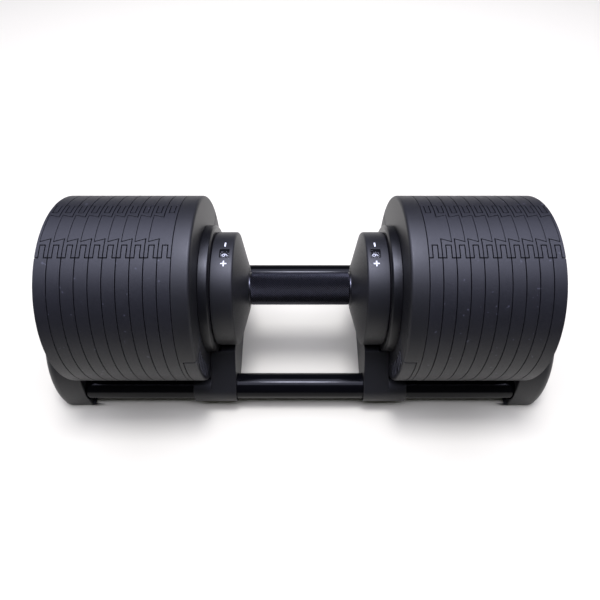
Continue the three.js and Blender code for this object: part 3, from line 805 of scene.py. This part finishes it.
def lettering(text, height):
    """A flat text mesh centred on its own middle, as a bmesh with the given digit height."""
    curve = bpy.data.curves.new("text", "FONT")
    curve.body = text
    curve.align_x = "CENTER"
    curve.align_y = "CENTER"
    curve.extrude = 0.01
    holder = bpy.data.objects.new("text", curve)
    bpy.context.scene.collection.objects.link(holder)
    bpy.context.view_layer.update()
    graph = bpy.context.evaluated_depsgraph_get()
    mesh = bpy.data.meshes.new_from_object(holder.evaluated_get(graph))
    shape = bmesh.new()
    shape.from_mesh(mesh)
    bpy.data.objects.remove(holder)
    bpy.data.curves.remove(curve)
    bpy.data.meshes.remove(mesh)
    low, high = extent(shape, 1)
    scale = height / (high - low)
    bmesh.ops.scale(shape, vec=(scale, scale, PRINT_THICKNESS / 0.02), verts=shape.verts)
    centre_flat(shape)
    return shape


def extent(shape, axis):
    values = [v.co[axis] for v in shape.verts]
    return min(values), max(values)


def centre_flat(shape):
    middle = [sum(extent(shape, axis)) / 2 for axis in (0, 1)]
    bmesh.ops.translate(shape, vec=(-middle[0], -middle[1], 0), verts=shape.verts)


def plus_mark(size, stroke):
    half, arm = size / 2, stroke / 2
    corner = [(arm, arm), (arm, half), (-arm, half), (-arm, arm)]
    turns = [Matrix.Rotation(step * math.pi / 2, 2) for step in range(4)]
    points = [tuple(turn @ Vector(point)) for turn in turns for point in corner[:3]]
    return prism(points, {}, 0, PRINT_THICKNESS, "Z")


def minus_mark(size, stroke):
    half, arm = size / 2, stroke / 2
    return prism([(-half, -arm), (half, -arm), (half, arm), (-half, arm)], {}, 0, PRINT_THICKNESS, "Z")


def wrapped(shape, x, angle, radius, direction):
    """Lays a flat mark on a drum about the handle's axis: its reading direction runs round the drum."""
    low, high = extent(shape, 0)
    cuts = math.ceil((high - low) / (0.8 * MM))
    for number in range(1, cuts):
        place = (low + (high - low) * number / cuts, 0, 0)
        geometry = shape.verts[:] + shape.edges[:] + shape.faces[:]
        bmesh.ops.bisect_plane(shape, geom=geometry, dist=1e-7, plane_co=place, plane_no=(1, 0, 0))
    for vert in shape.verts:
        along, up, out = vert.co
        turn = angle - direction * along / radius
        reach = radius + out
        vert.co = (x + direction * up, reach * math.sin(turn), AXIS_Z + reach * math.cos(turn))
    return shape


class DUMBBELL_OT_marks(bpy.types.Operator):
    """Print a plus and a minus on each cup, in front of and behind its window"""

    bl_idname = "dumbbell.marks"
    bl_label = "Marks"

    def execute(self, context):
        size = context.scene.dumbbell_sizes.mark_height
        for side, sign in SIDES:
            x = sign * WINDOW_X
            plus = wrapped(plus_mark(size, 1.15 * MM), x, PLUS_ANGLE, CUP_RADIUS, 1)
            minus = wrapped(minus_mark(size, 1.25 * MM), x, MINUS_ANGLE, CUP_RADIUS, 1)
            for shape, word in ((plus, "plus"), (minus, "minus")):
                mark = as_object(shape, f"{side}_{word}_mark", printed_ink())
                settle(mark, "handle", "black_plastic")
        return {"FINISHED"}


class DUMBBELL_OT_dials(bpy.types.Operator):
    """Build each number dial: a drum with ten weights printed round its rim"""

    bl_idname = "dumbbell.dials"
    bl_label = "Dials"

    def execute(self, context):
        height = context.scene.dumbbell_sizes.digit_height
        for side, sign in SIDES:
            wall, hub = DIAL_WALL, GRIP_RADIUS + GAP
            rim = DIAL_RADIUS - wall
            profile = [
                (DIAL_X, hub), (DIAL_X, DIAL_RADIUS), (DIAL_BACK, DIAL_RADIUS), (DIAL_BACK, rim),
                (DIAL_X + wall, rim), (DIAL_X + wall, hub + 3 * MM), (DIAL_X + 2 * wall, hub + 3 * MM),
                (DIAL_X + 2 * wall, hub),
            ]
            drum = as_object(
                turned(profile, FINE_ROUND, None, sign, (0, 0, AXIS_Z)), f"{side}_dial_drum", moulded_acetal()
            )
            soften(drum, 0.2 * MM)
            settle(drum, "grip", "dial_plastic", f"{side}_dial")
            for step in range(PLATES):
                weight = FIRST_WEIGHT + WEIGHT_STEP * step
                angle = CLICK_ANGLE * step  # a positive turn brings the next higher number to the window
                shape = wrapped(lettering(str(weight), height), sign * WINDOW_X, angle, DIAL_RADIUS, 1)
                number = as_object(shape, f"{side}_dial_number_{weight:02d}", printed_ink())
                settle(number, "grip", "dial_plastic")
        return {"FINISHED"}


# ---- Grip and selector ---------------------------------------------------------------------------

KNURL_CUTS = 4  # mesh steps across one diamond
GRIP_WALL = 1.5 * MM


def knurled_sleeve(start, end, radius, pitch, depth):
    """A tube of fine diamonds: a grid rolled about the X axis, its points lowered into crossing grooves."""
    round_count = round(2 * math.pi * radius / pitch)
    long_count = round((end - start) / pitch)
    shape = bmesh.new()
    bmesh.ops.create_grid(
        shape, x_segments=long_count * KNURL_CUTS, y_segments=round_count * KNURL_CUTS, size=0.5
    )
    for vert in shape.verts:
        along, around = (vert.co.x + 0.5) * long_count, (vert.co.y + 0.5) * round_count
        ridge = min(ridge_height(along + around), ridge_height(along - around))
        margin = min(1, 2 * along, 2 * (long_count - along))
        reach = radius - depth * (1 - ridge * margin)
        turn = 2 * math.pi * around / round_count
        vert.co = (
            start + (end - start) * along / long_count,
            -reach * math.sin(turn),
            AXIS_Z + reach * math.cos(turn),
        )
    return shape


def ridge_height(place):
    """0 in the bottom of a groove and 1 on the ridge halfway to the next."""
    return 1 - abs(2 * (place % 1) - 1)


class DUMBBELL_OT_grip(bpy.types.Operator):
    """Build the knurled grip, its smooth ends and its inner wall"""

    bl_idname = "dumbbell.grip"
    bl_label = "Grip"

    def execute(self, context):
        sizes = context.scene.dumbbell_sizes
        end = CUP_X - 1.4 * MM
        radius, wall = GRIP_RADIUS, GRIP_WALL
        shape = knurled_sleeve(-end, end, radius, sizes.knurl_pitch, sizes.knurl_depth)
        bmesh.ops.remove_doubles(shape, verts=shape.verts, dist=1e-6)
        reach = span("grip_sleeve", 0)[1]
        for sign in (-1, 1):
            rim = [e for e in shape.edges if e.is_boundary and (e.verts[0].co.x * sign) > end - MM]
            plain = radius - 0.2 * MM
            rings = ((end + 0.4 * MM, plain), (reach, plain), (reach, radius - wall), (0, radius - wall))
            for x, r in rings:
                rim = pulled_ring(shape, rim, x * sign, r)
        grip = as_object(shape, "knurled_grip", blackened_steel())
        for face in grip.data.polygons:
            face.use_smooth = False
        settle(grip, "grip", "grip_steel", "grip_sleeve")
        return {"FINISHED"}


def pulled_ring(shape, rim, x, radius):
    """Extrudes a round edge loop to a new station and radius on the X axis."""
    made = bmesh.ops.extrude_edge_only(shape, edges=rim)["geom"]
    verts = [item for item in made if isinstance(item, bmesh.types.BMVert)]
    for vert in verts:
        flat = Vector((0, vert.co.y, vert.co.z - AXIS_Z)).normalized() * radius
        vert.co = (x, flat.y, flat.z + AXIS_Z)
    edges = [item for item in made if isinstance(item, bmesh.types.BMEdge)]
    return [edge for edge in edges if all(v in verts for v in edge.verts)]


class DUMBBELL_OT_selector(bpy.types.Operator):
    """Build the selector's bar, and give the steel parts inside the handle their finish"""

    bl_idname = "dumbbell.selector"
    bl_label = "Selector"

    def execute(self, context):
        low, high = span("right_selector_bar", 0)
        bar = turned([(low, 0), (low, BAR_RADIUS), (high, BAR_RADIUS), (high, 0)], SMALL_ROUND,
                     {2: 1.2 * MM, 1: 0.6 * MM}, 1, (0, 0, AXIS_Z))
        bar = as_object(bar, "selector_bar", ground_steel())
        soften(bar, 0.1 * MM)
        settle(bar, "right_selector", "bare_steel", "right_selector_bar")
        for node in ("guide_tube", "cam_sleeve", "left_selector_tube", "left_follower", "right_follower",
                     "left_lock_pin", "right_lock_pin", "left_lock_spring", "right_lock_spring"):
            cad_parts[node].data.materials.clear()
            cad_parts[node].data.materials.append(ground_steel())
        return {"FINISHED"}


# ---- Tray ----------------------------------------------------------------------------------------

TUBE_WALL = 1.5 * MM


class DUMBBELL_OT_tubes(bpy.types.Operator):
    """Build the two enamelled tubes of the tray"""

    bl_idname = "dumbbell.tubes"
    bl_label = "Tray tubes"

    def execute(self, context):
        for name, y in (("front_tube", -TUBE_Y), ("back_tube", TUBE_Y)):
            profile = ring_points(-TUBE_END, TUBE_END, TUBE_RADIUS - TUBE_WALL, TUBE_RADIUS)
            shape = turned(profile, MIDDLE_ROUND, {1: 0.4 * MM, 2: 0.4 * MM}, 1, (0, y, TUBE_Z))
            tube = as_object(shape, f"{name}_enamelled", gloss_enamel())
            soften(tube, 0.1 * MM)
            settle(tube, "tray", "gloss_tube", name)
        return {"FINISHED"}


WRAP_RADIUS = 15.5 * MM
ARM_HALF_DEPTH = 50 * MM


def arc(centre, radius, start, end, steps=16):
    """Points round a centre between two angles."""
    angles = [start + (end - start) * step / steps for step in range(steps + 1)]
    return [(centre[0] + radius * math.cos(a), centre[1] + radius * math.sin(a)) for a in angles]


def saddle_outline(sloped):
    """Section of a saddle in Y and Z: it wraps both tubes, and its arms slope up to the cup."""
    up, across = SADDLE_TOP - TUBE_Z, ARM_HALF_DEPTH - TUBE_Y
    slope = math.atan2(up, across) - math.acos(WRAP_RADIUS / math.hypot(up, across))
    centre = (TUBE_Y, TUBE_Z)
    half = arc(centre, WRAP_RADIUS, -math.pi / 2, slope)
    if sloped:
        half.append((ARM_HALF_DEPTH, SADDLE_TOP))
    else:
        half += arc(centre, WRAP_RADIUS, slope, math.pi / 2)[1:]
    return half + [(-y, z) for y, z in reversed(half)]


class DUMBBELL_OT_saddles(bpy.types.Operator):
    """Build the saddle bracket under each cup"""

    bl_idname = "dumbbell.saddles"
    bl_label = "Saddles"

    def execute(self, context):
        for side, sign in SIDES:
            arms = prism(saddle_outline(True), {}, SADDLE_X, DISC_X - GAP, "X")
            foot = prism(saddle_outline(False), {}, SADDLE_X, SADDLE_BACK, "X")
            saddle = as_object(arms, f"{side}_saddle_bracket", moulded_nylon())
            combine(saddle, as_object(foot, "foot"), operation="UNION")
            cuts = [
                cylinder(SADDLE_X - MM, CUP_BACK + GAP, CUP_RADIUS + 0.5 * MM),
                cylinder(CUP_BACK - GAP, DISC_X, COLLAR_RADIUS + 0.5 * MM),
                cylinder(DISC_X - GAP, SADDLE_BACK + MM, PLATE_RADIUS + 0.5 * MM),
            ]
            cuts += [
                cylinder(SADDLE_X - MM, SADDLE_BACK + MM, TUBE_RADIUS + GAP, MIDDLE_ROUND, (0, y, TUBE_Z))
                for y in (-TUBE_Y, TUBE_Y)
            ]
            combine(saddle, *[as_object(cut, "cut") for cut in cuts])
            mirror_in_x(saddle, sign)
            weld(saddle)
            soften(saddle, 0.6 * MM, 3)
            settle(saddle, "tray", "black_plastic", f"{side}_saddle")
        return {"FINISHED"}


def mirror_in_x(piece, sign):
    """Turns a right-hand piece into a left-hand one, faces still outwards."""
    if sign < 0:
        piece.data.transform(Matrix.Scale(-1, 4, (1, 0, 0)))
        piece.data.flip_normals()


SOCKET_WALL = 1.4 * MM
LIP_REACH = 2.5 * MM
LIP_HEIGHT = 4.5 * MM
LIP_START = 0.75  # of the bracket's radius


class DUMBBELL_OT_end_brackets(bpy.types.Operator):
    """Build the half-round bracket at each end of the tray"""

    bl_idname = "dumbbell.end_brackets"
    bl_label = "End brackets"

    def execute(self, context):
        radius, middle = BRACKET_RADIUS, BRACKET_TOP - BRACKET_RADIUS
        centre, reach = (0, 0, middle), 2 * BRACKET_RADIUS
        hollow_radius, hollow_floor = TUBE_Y - TUBE_RADIUS - GAP - SOCKET_WALL, middle + SOCKET_WALL
        near, depth = BRACKET_X - LIP_REACH - MM, BRACKET_X + 20 * MM
        for side, sign in SIDES:
            profile = [(BRACKET_X, 0), (BRACKET_X, radius), (BRACKET_BACK, radius), (BRACKET_BACK, 0)]
            drum = turned(profile, FINE_ROUND, {2: 10 * MM, 1: 1 * MM}, 1, centre)
            bracket = as_object(drum, f"{side}_end_cap", moulded_nylon())
            lip = cylinder(BRACKET_X - LIP_REACH, BRACKET_X + MM, radius, FINE_ROUND, centre)
            lip = as_object(lip, "lip")
            combine(lip, as_object(box((0, -reach, LIP_HEIGHT), (reach * 2, reach, reach)), "above"))
            between = box((0, -radius * LIP_START, -reach), (reach * 2, radius * LIP_START, reach))
            combine(lip, as_object(between, "between"))
            combine(bracket, lip, operation="UNION")
            hollow = cylinder(near, depth, hollow_radius, FINE_ROUND, (0, 0, hollow_floor))
            hollow = as_object(hollow, "hollow")
            combine(hollow, as_object(box((0, -reach, -reach), (reach * 2, reach, hollow_floor)), "floor"))
            sockets = [
                as_object(cylinder(near, depth, TUBE_RADIUS + GAP, MIDDLE_ROUND, (0, y, TUBE_Z)), "socket")
                for y in (-TUBE_Y, TUBE_Y)
            ]
            below = box((0, -reach, -reach), (reach * 2, reach, BRACKET_LOW))
            combine(bracket, as_object(below, "below"), hollow, *sockets)
            mirror_in_x(bracket, sign)
            weld(bracket)
            soften(bracket, 0.9 * MM, 3)
            settle(bracket, "tray", "black_plastic", f"{side}_end_bracket")
        return {"FINISHED"}


class DUMBBELL_OT_pads(bpy.types.Operator):
    """Build the rubber pads under the end brackets"""

    bl_idname = "dumbbell.pads"
    bl_label = "Pads"

    def execute(self, context):
        for side, _ in SIDES:
            for place in ("front", "back"):
                node = f"{side}_{place}_pad"
                low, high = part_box(node)
                shape = bmesh.new()
                bmesh.ops.create_cone(
                    shape, cap_ends=True, segments=SMALL_ROUND, radius1=0.5, radius2=0.5, depth=1
                )
                bmesh.ops.scale(shape, vec=high - low, verts=shape.verts)
                bmesh.ops.translate(shape, vec=(low + high) / 2, verts=shape.verts)
                pad = as_object(shape, f"{node}_rubber", moulded_rubber())
                soften(pad, 0.5 * MM)
                settle(pad, "tray", "rubber", node)
        return {"FINISHED"}


# ---- Stage ---------------------------------------------------------------------------------------

def light(name, size, place, target, power, tint):
    """A soft box of light that looks at the target."""
    lamp = bpy.data.lights.new(name, "AREA")
    lamp.shape = "RECTANGLE"
    lamp.size, lamp.size_y = size
    lamp.energy = power
    lamp.color = tint
    holder = bpy.data.objects.new(name, lamp)
    bpy.context.scene.collection.objects.link(holder)
    holder.location = place
    holder.rotation_mode = "QUATERNION"
    holder.rotation_quaternion = (Vector(target) - Vector(place)).to_track_quat("-Z", "Y")


class DUMBBELL_OT_stage(bpy.types.Operator):
    """Lay the pale floor and set the soft light and the camera"""

    bl_idname = "dumbbell.stage"
    bl_label = "Stage"

    def execute(self, context):
        shape = bmesh.new()
        bmesh.ops.create_grid(shape, x_segments=1, y_segments=1, size=6)
        material, tree = start_material("pale_backdrop_paper")
        end_material(tree, add(
            tree, "ShaderNodeBsdfPrincipled",
            {"Base Color": (0.64, 0.61, 0.48, 1), "Roughness": 0.9, "Specular IOR Level": 0.0},
        ))
        as_object(shape, "floor", material)

        world = bpy.data.worlds.new("studio")
        context.scene.world = world
        world.use_nodes = True
        background = world.node_tree.nodes["Background"]
        background.inputs["Color"].default_value = (0.9, 0.94, 1, 1)
        background.inputs["Strength"].default_value = 0.07
        axis = (0, 0, AXIS_Z)
        light("overhead_softbox", (2.4, 1.5), (0, 0.22, AXIS_Z + 1.25), axis, 56, (0.74, 0.76, 1.0))
        light("key", (0.3, 0.3), (0, 0.16, AXIS_Z + 1.25), axis, 14, (0.8, 0.82, 1.0))

        camera = bpy.data.cameras.new("camera")
        camera.sensor_width = 36
        camera.lens = 28.75
        camera.clip_start = 0.01
        holder = bpy.data.objects.new("camera", camera)
        context.scene.collection.objects.link(holder)
        holder.location = (0, -0.2648, AXIS_Z + 0.3817)
        holder.rotation_mode = "QUATERNION"
        holder.rotation_quaternion = Vector((0, 0.5501, -0.8352)).to_track_quat("-Z", "Y")
        context.scene.camera = holder
        context.scene.view_settings.view_transform = "Standard"
        return {"FINISHED"}


# ---- Panel and registration ----------------------------------------------------------------------

OPERATORS = (
    DUMBBELL_OT_stage,
    DUMBBELL_OT_plates,
    DUMBBELL_OT_inner_discs,
    DUMBBELL_OT_collars,
    DUMBBELL_OT_cups,
    DUMBBELL_OT_marks,
    DUMBBELL_OT_dials,
    DUMBBELL_OT_grip,
    DUMBBELL_OT_selector,
    DUMBBELL_OT_tubes,
    DUMBBELL_OT_saddles,
    DUMBBELL_OT_end_brackets,
    DUMBBELL_OT_pads,
)


class DUMBBELL_PT_pieces(bpy.types.Panel):
    """Lists the pieces and their settings in the sidebar."""

    bl_idname = "DUMBBELL_PT_pieces"
    bl_label = "Adjustable dumbbell"
    bl_space_type = "VIEW_3D"
    bl_region_type = "UI"
    bl_category = "Dumbbell"

    def draw(self, context):
        for group in (context.scene.dumbbell_sizes, context.scene.dumbbell_colours):
            for name in group.__annotations__:
                self.layout.prop(group, name)
        for operator in OPERATORS:
            self.layout.operator(operator.bl_idname)


CLASSES = (DumbbellSizes, DumbbellColours, *OPERATORS, DUMBBELL_PT_pieces)


def register():
    for cls in CLASSES:
        bpy.utils.register_class(cls)
    bpy.types.Scene.dumbbell_sizes = PointerProperty(type=DumbbellSizes)
    bpy.types.Scene.dumbbell_colours = PointerProperty(type=DumbbellColours)


def unregister():
    del bpy.types.Scene.dumbbell_colours
    del bpy.types.Scene.dumbbell_sizes
    for cls in reversed(CLASSES):
        bpy.utils.unregister_class(cls)


def main():
    register()
    for operator in OPERATORS:
        group, name = operator.bl_idname.split(".")
        getattr(getattr(bpy.ops, group), name)()


if __name__ == "__main__":
    main()
